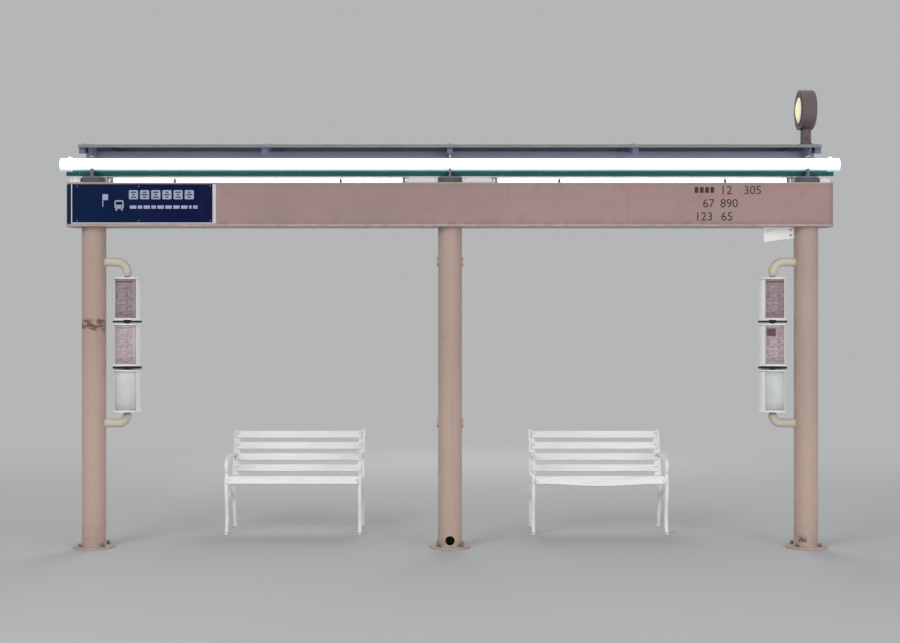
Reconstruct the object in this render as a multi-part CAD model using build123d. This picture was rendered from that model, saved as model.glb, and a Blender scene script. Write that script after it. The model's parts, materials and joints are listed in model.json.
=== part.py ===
from build123d import *
import os
from math import atan2, degrees, hypot, sqrt

# Bus shelter: three round posts in a row along the kerb, a deep sign beam, a long
# round light, a gently arched roof reaching back over two slatted benches, and a
# stack of three turning timetable drums at each end post.
# Millimetres. X runs along the kerb, Y away from the road and Z up. The origin is
# the middle of the centre post's foot, on the ground.

# General clearances
seat_gap = 0.3  # between curved faces that seat on each other
running_gap = 0.3  # between a drum and the spindle or collar that carries it

# Posts and their welded base flanges
post_spacing = 2460
post_diameter = 165.2
post_wall = 4.5
post_height = 2548
base_diameter = 280
base_thickness = 14
base_chamfer = 4
cable_hole_diameter = 110
anchor_circle = 226
anchor_hole_diameter = 20
anchor_count = 4
hand_hole_diameter = 64
hand_hole_height = 56
blank_socket_reach = 9

# Sign beam, a box of folded sheet with rounded ends
beam_overhang = 170  # past the middle of each end post
beam_depth = 240
beam_height = 300
post_head = 37  # what stands out of the beam
beam_end_radius = 60
beam_wall = 3
beam_lip_reach = 3
beam_lower_lip = 14
beam_upper_lip = 9
panel_thickness = 2
panel_border = 4
front_panel_length = 1010
back_panel_length = 530

# Long round light over the posts
tube_overhang = 228  # past the middle of each end post
tube_diameter = 90
tube_wall = 3
tube_over_foot = 39  # from an arm's foot to the light
cap_sleeve_wall = 2
cap_sleeve_length = 22
cap_end_thickness = 9

# Roof, an arch across its depth
roof_overhang = 70  # past the middle of each end post
roof_front = -165
roof_depth = 1590
roof_edge_rise = 203  # from a post's head to the underside of the sheets' edges
roof_rise = 65
sheet_thickness = 6
sheet_gap = 1
edge_height = 20
edge_depth = 24
edge_back = 6
rib_width = 40
rib_height = 50
rib_web = 8
rib_cap_width = 50
rib_cap_thickness = 4
end_rib_cap_width = 24
rib_wall = 3
rail_size = 50
rail_wall = 3
rail_drop = 59  # from the sheets' edges to the underside of the rails
front_rail_setback = 220
rear_rail_setback = 225

# Plate arms from the post heads, back under the roof
arm_thickness = 14
arm_foot_thickness = 10
arm_heel = 75
arm_lip_height = 54
arm_hook_reach = 135
arm_hook_tip = 26
arm_clear_over_tube = 7
arm_past_rail = 80
arm_tip_drop = 20  # below the rear rail
arm_belly_y = 480
arm_belly_rise = 82  # over the arm's foot

# Batten lights, one under the roof in each bay
batten_end_gap = 320  # by which a batten is shorter than its bay
batten_shift = 130  # outwards from the middle of its bay
batten_setback = 205  # behind the front rail's face
batten_drop = 72  # below the front rail
batten_height = 44
batten_base_width = 84
batten_top_width = 52
batten_skirt = 14
lamp_diameter = 32
lamp_drop = 3
batten_wall = 2
lamp_wall = 1.5
holder_length = 22
holder_width = 38
hanger_spacing = 1500
hanger_width = 40
hanger_thickness = 4
hanger_foot = 40

# Timetable drums, their spindles and pipe brackets
drum_offset = 230
drum_diameter = 183
drum_flange_diameter = 210
drum_flange_thickness = 8
drum_wall = 2
drum_hub_wall = 7
drum_height = 290
drum_gap = 27
drum_count = 3
spindle_diameter = 34
collar_diameter = 52
collar_clear_above_drum = 6
foot_collar_height = 9
bracket_pipe_diameter = 60.5
bracket_tip_diameter = 42
upper_bracket_clear = 240  # from its level pipe to the beam
upper_bracket_rise = 98  # from its tip to its level pipe
upper_bend_radius = 76
upper_tip_gap = 11
lower_bracket_drop = 67
lower_bend_radius = 57
lower_tip_gap = 12

# Small white knee plate between the right post and the beam
knee_length = 211
knee_toe_height = 102
knee_heel_height = 64  # at the post's middle
knee_thickness = 6
knee_side_strip = 20
knee_top_strip = 8
knee_hole_length = 84
knee_hole_height = 31
knee_fold = 24

# Round lamp on the roof over the right post
roof_lamp_setback = 50  # of its face from the right post's middle
roof_lamp_rise = 269  # over the roof's edges
roof_lamp_diameter = 274
roof_lamp_depth = 98
roof_lamp_chamfer = 8
roof_lamp_wall = 3
lens_diameter = 176
lens_thickness = 4
lens_dome = 10
lens_bevel = 26
stem_diameter = 72
stem_wall = 4
stem_flange_diameter = 90
stem_flange_thickness = 8

# Benches
bench_width = 1000
left_bench_shift = 80  # from the middle of its bay
right_bench_shift = -130
bench_front = 600
frame_thickness = 24
lug_thickness = 24
slat_thickness = 20
seat_slat_width = 48
seat_slat_count = 6
seat_front_height = 405
seat_back_height = 375
seat_front = 22
seat_depth = 350
nose_drop = 40
nose_rake = 20
rail_depth = 34
back_foot = (392, 352)
back_top = (513, 720)
back_slat_width = 54
back_slat_count = 4
first_back_slat = 68
back_slat_pitch = 87
slat_edge_radius = 4
slat_end_gap = 1
bar_width = 26
foot_length = 56
foot_height = 12
front_foot_y = 22
rear_foot_y = 470
finial_radius = 17
right_bench_sag = (42, 42, 18)
arm_rest = ((447, 545), (250, 565), (62, 548))
arm_scroll = ((62, 548), (12, 505), (30, 455))
arm_foot = ((30, 455), (36, 425), (18, 390))
front_knee = ((16, 380), (22, 280), (46, 190))
front_ankle = ((46, 190), (54, 100), (24, 10))
rear_leg = ((398, 352), (408, 200), (470, 10))
leg_brace = ((46, 195), (225, 290), (408, 195))

# Worked out from the sizes above
post_radius = post_diameter / 2
beam_length = 2 * (post_spacing + beam_overhang)
beam_top = post_height - post_head
beam_bottom = beam_top - beam_height
arm_foot_top = post_height + arm_foot_thickness
tube_length = 2 * (post_spacing + tube_overhang)
tube_height = arm_foot_top + tube_over_foot + tube_diameter / 2
roof_length = 2 * (post_spacing + roof_overhang)
roof_edge_height = post_height + roof_edge_rise
roof_middle_y = roof_front + roof_depth / 2
roof_rear = roof_front + roof_depth
roof_radius = (roof_depth / 2) ** 2 / (2 * roof_rise) + roof_rise / 2
roof_centre_z = roof_edge_height + roof_rise - roof_radius
sheet_under = roof_radius
sheet_top = roof_radius + sheet_thickness
rib_under = roof_radius - rib_height
rib_places = (-1, -0.5, 0, 0.5, 1)
rail_bottom = roof_edge_height - rail_drop
front_rail_y = roof_front + front_rail_setback
rear_rail_y = roof_rear - rear_rail_setback
arm_reach = rear_rail_y + rail_size + arm_past_rail
batten_length = post_spacing - batten_end_gap
batten_middle = post_spacing / 2 + batten_shift
batten_y = front_rail_y + batten_setback
batten_top = rail_bottom - batten_drop
upper_bracket_height = beam_bottom - upper_bracket_clear
upper_tip_height = upper_bracket_height - upper_bracket_rise
drum_pitch = drum_height + drum_gap
drum_bottom = upper_tip_height - upper_tip_gap + drum_gap - drum_count * drum_pitch
lower_tip_height = drum_bottom - lower_tip_gap
lower_bracket_height = lower_tip_height - lower_bracket_drop
roof_lamp_x = post_spacing - roof_lamp_setback
roof_lamp_height = roof_edge_height + roof_lamp_rise
left_bench_x = -post_spacing / 2 + left_bench_shift
right_bench_x = post_spacing / 2 + right_bench_shift
seat_rail_front = (seat_front, seat_front_height)
seat_rail_back = (seat_front + seat_depth, seat_back_height)


def arch_point(radius, y):
    """A point of an arc about the roof's centre, at the given Y."""
    return (y, roof_centre_z + sqrt(radius**2 - (y - roof_middle_y) ** 2))


def arch_strip(low_radius, high_radius, y_from, y_to, x_from, x_to):
    """A band of the roof's arch, cut plumb at both ends and extruded along X."""
    y_mid = (y_from + y_to) / 2
    top = ThreePointArc(*(arch_point(high_radius, y) for y in (y_from, y_mid, y_to)))
    low = ThreePointArc(*(arch_point(low_radius, y) for y in (y_to, y_mid, y_from)))
    face = make_face([top, Line(top @ 1, low @ 0), low, Line(low @ 1, top @ 0)])
    return Pos(x_from, 0, 0) * extrude(Plane.YZ * face, amount=x_to - x_from)


def block(x_from, x_to, y_from, y_to, z_from, z_to):
    """A box between two corners."""
    box = Box(x_to - x_from, y_to - y_from, z_to - z_from, align=(Align.MIN,) * 3)
    return Pos(x_from, y_from, z_from) * box


def rod(radius, z_from, z_to, x=0, y=0):
    """An upright round bar."""
    bar = Cylinder(radius, z_to - z_from, align=(Align.CENTER, Align.CENTER, Align.MIN))
    return Pos(x, y, z_from) * bar


def rod_along_x(radius, x_from, x_to, y, z):
    """A level round bar along X."""
    bar = extrude(Plane.YZ * Circle(radius), amount=x_to - x_from)
    return Pos(x_from, y, z) * bar


def rail(y_from):
    """The space one square roof rail takes."""
    end = roof_length / 2
    return block(-end, end, y_from, y_from + rail_size, rail_bottom, rail_bottom + rail_size)


def post(x):
    """A round pipe welded on a round flange with anchor holes."""
    flange = rod(base_diameter / 2, 0, base_thickness)
    flange = chamfer(flange.edges().group_by(Axis.Z)[-1], base_chamfer)
    pipe = rod(post_radius, base_thickness, post_height)
    bore = rod(post_radius - post_wall, base_thickness, post_height)
    holes = PolarLocations(anchor_circle / 2, anchor_count, start_angle=45)
    anchors = [place * rod(anchor_hole_diameter / 2, 0, base_thickness) for place in holes]
    cable_hole = rod(cable_hole_diameter / 2, 0, base_thickness)
    return Pos(x, 0, 0) * (flange + pipe - bore - cable_hole - anchors)


def centre_post():
    """The middle post has a hand hole near the ground and blanked bracket sockets."""
    body = post(0)
    for z in (lower_bracket_height, upper_bracket_height):
        reach = post_radius + blank_socket_reach
        sockets = rod_along_x(bracket_pipe_diameter / 2, -reach, reach, 0, z)
        body += sockets - rod(post_radius - post_wall / 2, 0, post_height)
    hole = extrude(Plane.XZ * Pos(0, hand_hole_height) * Circle(hand_hole_diameter / 2), post_diameter)
    return body - hole


def beam_outline(reach):
    """The beam's plan, grown outwards by a reach."""
    return RectangleRounded(beam_length + 2 * reach, beam_depth + 2 * reach, beam_end_radius + reach)


def sign_beam():
    """A closed box of folded sheet with a lip along both edges, holed for the posts."""
    shell = extrude(beam_outline(0), beam_height)
    shell += extrude(beam_outline(beam_lip_reach), beam_lower_lip)
    shell += Pos(0, 0, beam_height - beam_upper_lip) * extrude(beam_outline(beam_lip_reach), beam_upper_lip)
    shell -= Pos(0, 0, beam_wall) * extrude(beam_outline(-beam_wall), beam_height - 2 * beam_wall)
    for x in (-post_spacing, 0, post_spacing):
        shell -= rod(post_radius + seat_gap, 0, beam_height, x)
    return Pos(0, 0, beam_bottom) * shell


def name_panel(length, side):
    """A thin plate bent round one corner of the beam's left end, side -1 front or 1 back."""
    low = beam_bottom + beam_lower_lip + panel_border
    high = beam_top - beam_upper_lip - panel_border
    sleeve = extrude(beam_outline(panel_thickness) - beam_outline(0), high - low)
    sleeve = Pos(0, 0, low) * sleeve
    end = -beam_length / 2 - panel_thickness
    edges = sorted((side * (beam_depth / 2 - beam_end_radius), side * beam_depth))
    return sleeve & block(end, end + length, *edges, low, high)


def light_tube():
    """The long round diffuser, a plain tube."""
    half = tube_length / 2 - cap_end_thickness
    outer = rod_along_x(tube_diameter / 2, -half, half, 0, tube_height)
    return outer - rod_along_x(tube_diameter / 2 - tube_wall, -half, half, 0, tube_height)


def tube_cap(side):
    """A cup that closes one end of the light, side -1 left or 1 right."""
    bore = tube_diameter / 2 + seat_gap
    cup = Cylinder(bore + cap_sleeve_wall, cap_end_thickness + cap_sleeve_length)
    cup = chamfer(cup.edges().group_by(Axis.Z)[-1], cap_sleeve_wall)
    cup -= Pos(0, 0, -cap_end_thickness) * Cylinder(bore, cap_end_thickness + cap_sleeve_length)
    middle = tube_length / 2 - (cap_end_thickness + cap_sleeve_length) / 2
    return Pos(side * middle, 0, tube_height) * Rot(0, side * 90, 0) * cup


def roof_edge(y_outer, side):
    """The slotted bar along the front (side 1) or rear (side -1) edge of the sheets."""
    end = roof_length / 2
    middle = roof_radius + sheet_thickness / 2
    slot = sheet_thickness / 2 + seat_gap
    bar = sorted((y_outer, y_outer + side * edge_depth))
    groove = sorted((y_outer + side * edge_back, y_outer + side * 2 * edge_depth))
    solid = arch_strip(middle - edge_height / 2, middle + edge_height / 2, *bar, -end, end)
    return solid - arch_strip(middle - slot, middle + slot, *groove, -end, end)


def roof_rib(place):
    """A glazing bar: a hollow base with closed ends, a thin web between the sheets and a cap."""
    reach = (roof_front + edge_depth + seat_gap, roof_rear - edge_depth - seat_gap)
    cap = (sheet_top + seat_gap, sheet_top + seat_gap + rib_cap_thickness)
    if abs(place) == 1:
        end = roof_length / 2
        spans = [(end - rib_width, end), (end - rib_web, end), (end - end_rib_cap_width, end)]
        spans = spans if place > 0 else [(-high, -low) for low, high in spans]
    else:
        x = place * roof_length / 2
        spans = [(x - w / 2, x + w / 2) for w in (rib_width, rib_web, rib_cap_width)]
    bar = arch_strip(rib_under, sheet_under - seat_gap, *reach, *spans[0])
    bar += arch_strip(sheet_under - rib_web, cap[0] + rib_cap_thickness / 2, *reach, *spans[1])
    bar += arch_strip(*cap, *reach, *spans[2])
    room = (reach[0] + rib_wall, reach[1] - rib_wall)
    inner = (spans[0][0] + rib_wall, spans[0][1] - rib_wall)
    bar -= arch_strip(rib_under + rib_wall, sheet_under - seat_gap - rib_wall, *room, *inner)
    return bar - rail(front_rail_y) - rail(rear_rail_y)


def roof_sheets(side):
    """The two curved sheets of one bay, side -1 left or 1 right."""
    reach = (roof_front + edge_back + sheet_gap, roof_rear - edge_back - sheet_gap)
    web = rib_web / 2 + sheet_gap
    half = roof_length / 2
    spans = [(web, half / 2 - web), (half / 2 + web, half - rib_web - sheet_gap)]
    if side < 0:
        spans = [(-high, -low) for low, high in spans]
    return [arch_strip(sheet_under, sheet_top, *reach, *span) for span in spans]


def roof_rail(y_from):
    """A square tube along the roof."""
    end = roof_length / 2
    inner = (y_from + rail_wall, y_from + rail_size - rail_wall)
    inner_z = (rail_bottom + rail_wall, rail_bottom + rail_size - rail_wall)
    return rail(y_from) - block(-end, end, *inner, *inner_z)


def roof_arm(x, top_radius):
    """A plate on a post's head: it cradles the light, hooks over it and runs back."""
    hook = arch_point(top_radius, -arm_hook_reach)
    tip = arch_point(top_radius, arm_reach)
    crest = arch_point(top_radius, arm_reach / 2)
    top = ThreePointArc(hook, crest, tip)
    belly = ThreePointArc(
        (arm_reach, rail_bottom - arm_tip_drop),
        (arm_belly_y, arm_foot_top + arm_belly_rise),
        (arm_heel, arm_foot_top),
    )
    front = Polyline(
        belly @ 1,
        (-arm_heel, arm_foot_top),
        (-arm_heel, tube_height),
        (-arm_hook_reach, hook[1] - arm_hook_tip),
        hook,
    )
    outline = make_face([top, Line(tip, belly @ 0), belly, front])
    plate = extrude(Plane.YZ * outline, arm_thickness / 2, both=True)
    tube_hole = tube_diameter / 2 + seat_gap
    plate -= rod_along_x(tube_hole, -arm_thickness, arm_thickness, 0, tube_height)
    mouth_top = tube_height + tube_diameter / 2 + arm_clear_over_tube
    mouth = block(-arm_thickness, arm_thickness, -2 * arm_heel, 0, arm_foot_top + arm_lip_height, mouth_top)
    plate -= mouth
    for y in (front_rail_y, rear_rail_y):
        grown = rail_size + 2 * seat_gap
        plate -= block(
            -arm_thickness, arm_thickness, y - seat_gap, y - seat_gap + grown,
            rail_bottom - seat_gap, rail_bottom - seat_gap + grown,
        )
    return Pos(x, 0, 0) * (plate + rod(post_radius, post_height, arm_foot_top))


def batten(side):
    """A batten body with its lamp holders and two hanger straps from the front rail."""
    half = batten_length / 2
    low = batten_top - batten_height
    section = Polyline(
        (-batten_base_width / 2, low),
        (-batten_base_width / 2, low + batten_skirt),
        (-batten_top_width / 2, batten_top),
        (batten_top_width / 2, batten_top),
        (batten_base_width / 2, low + batten_skirt),
        (batten_base_width / 2, low),
        close=True,
    )
    body = extrude(Plane.YZ * make_face(section), half, both=True)
    room = offset(make_face(section), -batten_wall)
    body -= extrude(Plane.YZ * room, half - batten_wall, both=True)
    holder_low = low - lamp_drop - lamp_diameter
    for end in (-half, half - holder_length):
        body += block(end, end + holder_length, -holder_width / 2, holder_width / 2, holder_low, low)
    body = Pos(0, batten_y, 0) * body
    strap_y = batten_y - hanger_foot / 2
    strap = Polyline(
        (front_rail_y, rail_bottom),
        (front_rail_y, rail_bottom - hanger_thickness),
        (strap_y, rail_bottom - hanger_thickness),
        (strap_y, batten_top),
        (strap_y + hanger_foot, batten_top),
        (strap_y + hanger_foot, batten_top + hanger_thickness),
        (strap_y + hanger_thickness, batten_top + hanger_thickness),
        (strap_y + hanger_thickness, rail_bottom),
        close=True,
    )
    hanger = extrude(Plane.YZ * make_face(strap), hanger_width / 2, both=True)
    for x in (-hanger_spacing / 2, hanger_spacing / 2):
        body += Pos(x, 0, 0) * hanger
    return Pos(side * batten_middle, 0, 0) * body


def batten_lamp(side):
    """The tube lamp between the batten's holders."""
    half = batten_length / 2 - holder_length
    z = batten_top - batten_height - lamp_drop - lamp_diameter / 2
    lamp = rod_along_x(lamp_diameter / 2, -half, half, batten_y, z)
    lamp -= rod_along_x(lamp_diameter / 2 - lamp_wall, lamp_wall - half, half - lamp_wall, batten_y, z)
    return Pos(side * batten_middle, 0, 0) * lamp


def drum_bracket(side, height, bend_radius, tip_height):
    """A coped bar from the post that turns onto the drums' axis and tapers to the spindle."""
    up = 1 if tip_height > height else -1
    axis = post_spacing - drum_offset
    bend_end = height + up * bend_radius
    corner = (axis, 0, height)
    path = FilletPolyline((post_spacing, 0, height), corner, (axis, 0, bend_end + up), radius=bend_radius)
    start = Plane(origin=path @ 0, z_dir=path % 0)
    outer = bracket_pipe_diameter / 2
    pipe = sweep(start * Circle(outer), path=path)
    pipe -= rod(post_radius + seat_gap, height - 2 * outer, height + 2 * outer, post_spacing)
    taper = Polyline(
        (0, bend_end), (outer, bend_end), (bracket_tip_diameter / 2, tip_height), (0, tip_height), close=True
    )
    cone = revolve(Plane.XZ * make_face(taper), Axis.Z)
    pipe += Pos(axis, 0, 0) * cone
    return pipe if side > 0 else mirror(pipe, Plane.YZ)


def spindle(side):
    """The fixed rod of one stack, with a collar turned under each drum."""
    bar = rod(spindle_diameter / 2, lower_tip_height, upper_tip_height)
    for level in range(drum_count):
        seat = drum_bottom + level * drum_pitch - running_gap
        below = drum_gap - collar_clear_above_drum if level else foot_collar_height
        bar += rod(collar_diameter / 2, seat - below, seat)
    return Pos(side * (post_spacing - drum_offset), 0, 0) * bar


def drum(side, level):
    """One hollow turning drum: a hub, a thin wall and a flange at each end."""
    bore = spindle_diameter / 2 + running_gap
    wall = drum_diameter / 2
    rim = drum_flange_diameter / 2
    thick = drum_flange_thickness
    profile = Polyline(
        (bore, 0), (rim, 0), (rim, thick), (wall, thick),
        (wall, drum_height - thick), (rim, drum_height - thick), (rim, drum_height), (bore, drum_height),
        close=True,
    )
    hollow = Polyline(
        (bore + drum_hub_wall, thick), (wall - drum_wall, thick),
        (wall - drum_wall, drum_height - thick), (bore + drum_hub_wall, drum_height - thick),
        close=True,
    )
    body = revolve(Plane.XZ * (make_face(profile) - make_face(hollow)), Axis.Z)
    return Pos(side * (post_spacing - drum_offset), 0, drum_bottom + level * drum_pitch) * body


def knee_plate():
    """A pierced plate in the corner of the right post and the beam, folded along its sloping foot."""
    right = post_spacing
    left = post_spacing - post_radius - knee_length
    toe = beam_bottom - knee_toe_height
    heel = beam_bottom - knee_heel_height
    outline = Polyline((left, beam_bottom), (left, toe), (right, heel), (right, beam_bottom), close=True)
    plate = extrude(Plane.XZ * make_face(outline), knee_thickness / 2, both=True)
    hole_left = left + knee_side_strip
    hole_top = beam_bottom - knee_top_strip
    hole = Polyline(
        (hole_left, hole_top),
        (hole_left, hole_top - knee_hole_height),
        (hole_left + knee_hole_length, hole_top),
        close=True,
    )
    plate -= extrude(Plane.XZ * make_face(hole), knee_thickness, both=True)
    fold = Polyline(
        (left, toe), (right, heel), (right, heel + knee_thickness), (left, toe + knee_thickness), close=True
    )
    plate += extrude(Plane.XZ * make_face(fold), knee_fold / 2, both=True)
    return plate - rod(post_radius + seat_gap, toe, beam_bottom, post_spacing)


def roof_lamp_housing():
    """A shallow round case on its side, chamfered at the back and open to the lens."""
    rim = roof_lamp_diameter / 2
    wall = roof_lamp_wall
    cut = roof_lamp_chamfer
    case = Cylinder(rim, roof_lamp_depth, align=(Align.CENTER, Align.CENTER, Align.MIN))
    case = chamfer(case.edges().group_by(Axis.Z)[-1], cut)
    room = Cylinder(rim - wall, roof_lamp_depth - 2 * wall, align=(Align.CENTER, Align.CENTER, Align.MIN))
    room = chamfer(room.edges().group_by(Axis.Z)[-1], cut)
    case -= Pos(0, 0, wall) * room
    case -= rod(lens_diameter / 2 + seat_gap, 0, roof_lamp_depth / 2)
    return Pos(roof_lamp_x, 0, roof_lamp_height) * Rot(0, 90, 0) * case


def roof_lamp_lens():
    """A bevelled cover that stands proud of the case's face and seats in its opening."""
    edge = lens_diameter / 2
    profile = Polyline(
        (0, -lens_dome),
        (edge - lens_bevel, -lens_dome),
        (edge, 0),
        (edge, lens_thickness),
        (0, lens_thickness),
        close=True,
    )
    cover = revolve(Plane.XZ * make_face(profile), Axis.Z)
    return Pos(roof_lamp_x, 0, roof_lamp_height) * Rot(0, 90, 0) * cover


def roof_lamp_stem():
    """A short pipe stub from the roof to the case, flanged where it meets the sheet."""
    x = roof_lamp_x + roof_lamp_depth / 2
    top = roof_lamp_height
    flange_low = arch_point(sheet_top, 0)[1]
    flange_radius = stem_flange_diameter / 2
    flange = rod(flange_radius, flange_low - flange_radius, flange_low + stem_flange_thickness, x)
    stem = flange + rod(stem_diameter / 2, flange_low, top, x)
    stem -= rod(stem_diameter / 2 - stem_wall, 0, top, x)
    stem -= rod_along_x(roof_lamp_diameter / 2 + seat_gap, x - flange_radius, x + flange_radius, 0, top)
    whole_roof = rod_along_x(sheet_top + seat_gap, 0, 2 * x, roof_middle_y, roof_centre_z)
    return stem - whole_roof


def sag_line(end, sag, z):
    """One face of a sagging slat: flat on the lugs, then two easy bends each way."""
    flat = end - lug_thickness
    lines = []
    for side in (-1, 1):
        turn = (side * flat / 2, z - sag / 2)
        lines.append(Line((side * end, z), (side * flat, z)))
        lines.append(TangentArc((side * flat, z), turn, tangent=(-side, 0)))
        lines.append(TangentArc((0, z - sag), turn, tangent=(side, 0)))
    return lines


def board(length, width, thickness, sag=0):
    """A slat along X, its width along Y, sagging in the middle by the given amount."""
    end = length / 2
    if sag:
        low, high = sag_line(end, sag, 0), sag_line(end, sag, thickness)
    else:
        low, high = ([Line((-end, z), (end, z))] for z in (0, thickness))
    ends = [Line((x, 0), (x, thickness)) for x in (-end, end)]
    slat = Pos(0, width, 0) * extrude(Plane.XZ * make_face(low + high + ends), width)
    if sag:
        return slat
    upper = slat.edges().filter_by(Axis.X).sort_by(Axis.Z)[-2:]
    return fillet(upper, slat_edge_radius)


def along(start, end, distance, lift=0):
    """A point of the bench's side view, a distance along a line and lifted square off it."""
    dy, dz = end[0] - start[0], end[1] - start[1]
    length = hypot(dy, dz)
    y = start[0] + (dy * distance - dz * lift) / length
    z = start[1] + (dz * distance + dy * lift) / length
    return (y, z)


def lay(slat, start, end, distance, lift=0):
    """A slat laid on a line of the bench's side view, its width running along the line."""
    y, z = along(start, end, distance, lift)
    turn = degrees(atan2(end[1] - start[1], end[0] - start[0]))
    return Pos(0, bench_front + y, z) * Rot(turn, 0, 0) * slat


def bench_slats(x, sags):
    """The nose slat, the seat slats and the back slats, seated on the frames' lugs."""
    length = bench_width - 2 * frame_thickness - 2 * slat_end_gap
    nose_width = hypot(nose_rake, nose_drop)
    nose_low = (seat_rail_front[0] - nose_rake, seat_rail_front[1] - nose_drop)
    sags = list(sags) + [0] * (seat_slat_count + 1 - len(sags))
    slats = [lay(board(length, nose_width, slat_thickness, sags[0]), nose_low, seat_rail_front, 0)]
    pitch = seat_depth / seat_slat_count
    for place in range(seat_slat_count):
        slat = board(length, seat_slat_width, slat_thickness, sags[place + 1])
        distance = (place + 0.5) * pitch - seat_slat_width / 2
        slats.append(lay(slat, seat_rail_front, seat_rail_back, distance))
    for place in range(back_slat_count):
        slat = board(length, back_slat_width, slat_thickness)
        distance = first_back_slat + place * back_slat_pitch
        slats.append(lay(slat, back_foot, back_top, distance, bar_width / 2))
    return [Pos(x, 0, 0) * slat for slat in slats]


def bench_frame(x, side):
    """A cast end frame: scrolled arm, curved legs and an inner lug that the slats lie on."""
    rail_end = back_foot[0]
    rail_back_height = seat_rail_front[1] + (seat_back_height - seat_front_height) * (
        rail_end - seat_front
    ) / seat_depth
    seat_rail = make_face(Polyline(
        (seat_rail_front[0] - nose_rake, seat_rail_front[1] - nose_drop),
        seat_rail_front,
        (rail_end, rail_back_height),
        (rail_end, rail_back_height - rail_depth),
        close=True,
    ))
    upright = trace(Line(back_foot, back_top), bar_width)
    lug = seat_rail + upright
    strokes = [
        ThreePointArc(*arm_rest),
        ThreePointArc(*arm_scroll),
        ThreePointArc(*arm_foot),
        ThreePointArc(*front_knee),
        ThreePointArc(*front_ankle),
        ThreePointArc(*rear_leg),
        ThreePointArc(*leg_brace),
    ]
    casting = lug + [trace(stroke, bar_width) for stroke in strokes]
    joints = (arm_scroll[0], arm_scroll[2], arm_foot[2], front_knee[2], back_foot)
    casting += [Pos(*joint) * Circle(bar_width / 2) for joint in joints]
    casting += Pos(*back_top) * Circle(finial_radius)
    for y in (front_foot_y, rear_foot_y):
        casting += Pos(y, foot_height / 2) * Rectangle(foot_length, foot_height)
    outer = extrude(Plane.YZ * casting, frame_thickness)
    inner = Pos(-lug_thickness, 0, 0) * extrude(Plane.YZ * lug, lug_thickness)
    frame = Pos(bench_width / 2 - frame_thickness, bench_front, 0) * (outer + inner)
    return Pos(x, 0, 0) * (frame if side > 0 else mirror(frame, Plane.YZ))


SIDES = {"left": -1, "right": 1}
BENCHES = {"left": (left_bench_x, ()), "right": (right_bench_x, right_bench_sag)}
DRUM_LEVELS = ("lower", "middle", "upper")

parts = {
    "left_post": post(-post_spacing),
    "centre_post": centre_post(),
    "right_post": post(post_spacing),
    "sign_beam": sign_beam(),
    "front_name_panel": name_panel(front_panel_length, -1),
    "back_name_panel": name_panel(back_panel_length, 1),
    "light_tube": light_tube(),
    "roof_front_edge": roof_edge(roof_front, 1),
    "roof_rear_edge": roof_edge(roof_rear, -1),
    "roof_front_rail": roof_rail(front_rail_y),
    "roof_rear_rail": roof_rail(rear_rail_y),
    "centre_roof_arm": roof_arm(0, rib_under - seat_gap),
    "knee_plate": knee_plate(),
    "roof_lamp_housing": roof_lamp_housing(),
    "roof_lamp_lens": roof_lamp_lens(),
    "roof_lamp_stem": roof_lamp_stem(),
}
for place, name in zip(rib_places, ("left_end", "left_middle", "centre", "right_middle", "right_end")):
    parts[f"{name}_roof_rib"] = roof_rib(place)
for name, side in SIDES.items():
    parts[f"{name}_tube_cap"] = tube_cap(side)
    parts[f"{name}_roof_arm"] = roof_arm(side * post_spacing, sheet_under - seat_gap)
    parts[f"{name}_roof_sheets"] = roof_sheets(side)
    parts[f"{name}_batten"] = batten(side)
    parts[f"{name}_batten_lamp"] = batten_lamp(side)
    parts[f"{name}_upper_bracket"] = drum_bracket(
        side, upper_bracket_height, upper_bend_radius, upper_tip_height
    )
    parts[f"{name}_lower_bracket"] = drum_bracket(
        side, lower_bracket_height, lower_bend_radius, lower_tip_height
    )
    parts[f"{name}_drum_spindle"] = spindle(side)
    for level, level_name in enumerate(DRUM_LEVELS):
        parts[f"{name}_{level_name}_drum"] = drum(side, level)
    bench_x, sags = BENCHES[name]
    parts[f"{name}_bench_slats"] = bench_slats(bench_x, sags)
    for end_name, end in SIDES.items():
        parts[f"{name}_bench_{end_name}_frame"] = bench_frame(bench_x, end)

os.makedirs("parts", exist_ok=True)
for name, shape in parts.items():
    solids = shape if isinstance(shape, list) else [shape]
    export_step(solids[0] if len(solids) == 1 else Compound(solids), f"parts/{name}.step")
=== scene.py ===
"""Looks of the bus shelter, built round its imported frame. Metres, in the row frame: X along the kerb, Y away
from the road, Z up."""
import json
from math import cos, pi, radians, sin, sqrt, tau
from random import Random

import bmesh
import bpy
from mathutils import Matrix, Vector


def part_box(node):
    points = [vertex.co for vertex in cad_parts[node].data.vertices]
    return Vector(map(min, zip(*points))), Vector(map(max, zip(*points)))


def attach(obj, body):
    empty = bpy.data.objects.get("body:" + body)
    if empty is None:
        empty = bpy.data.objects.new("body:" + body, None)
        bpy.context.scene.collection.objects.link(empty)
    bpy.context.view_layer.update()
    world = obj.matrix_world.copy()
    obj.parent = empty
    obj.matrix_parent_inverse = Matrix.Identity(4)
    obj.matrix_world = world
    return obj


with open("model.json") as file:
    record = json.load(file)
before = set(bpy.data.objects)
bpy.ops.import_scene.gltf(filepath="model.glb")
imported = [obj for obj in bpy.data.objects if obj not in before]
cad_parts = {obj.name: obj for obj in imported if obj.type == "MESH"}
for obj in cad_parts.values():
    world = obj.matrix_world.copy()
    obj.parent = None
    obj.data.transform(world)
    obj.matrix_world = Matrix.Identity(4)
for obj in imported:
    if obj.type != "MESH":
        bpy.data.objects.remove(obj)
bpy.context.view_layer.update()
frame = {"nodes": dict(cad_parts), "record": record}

NODES = frame["nodes"]
SLOTS = {part["node"]: part["material_slot"] for part in frame["record"]["subparts"]}
SIDES = {"left": -1, "right": 1}
UP = Vector((0, 0, 1))

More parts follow.
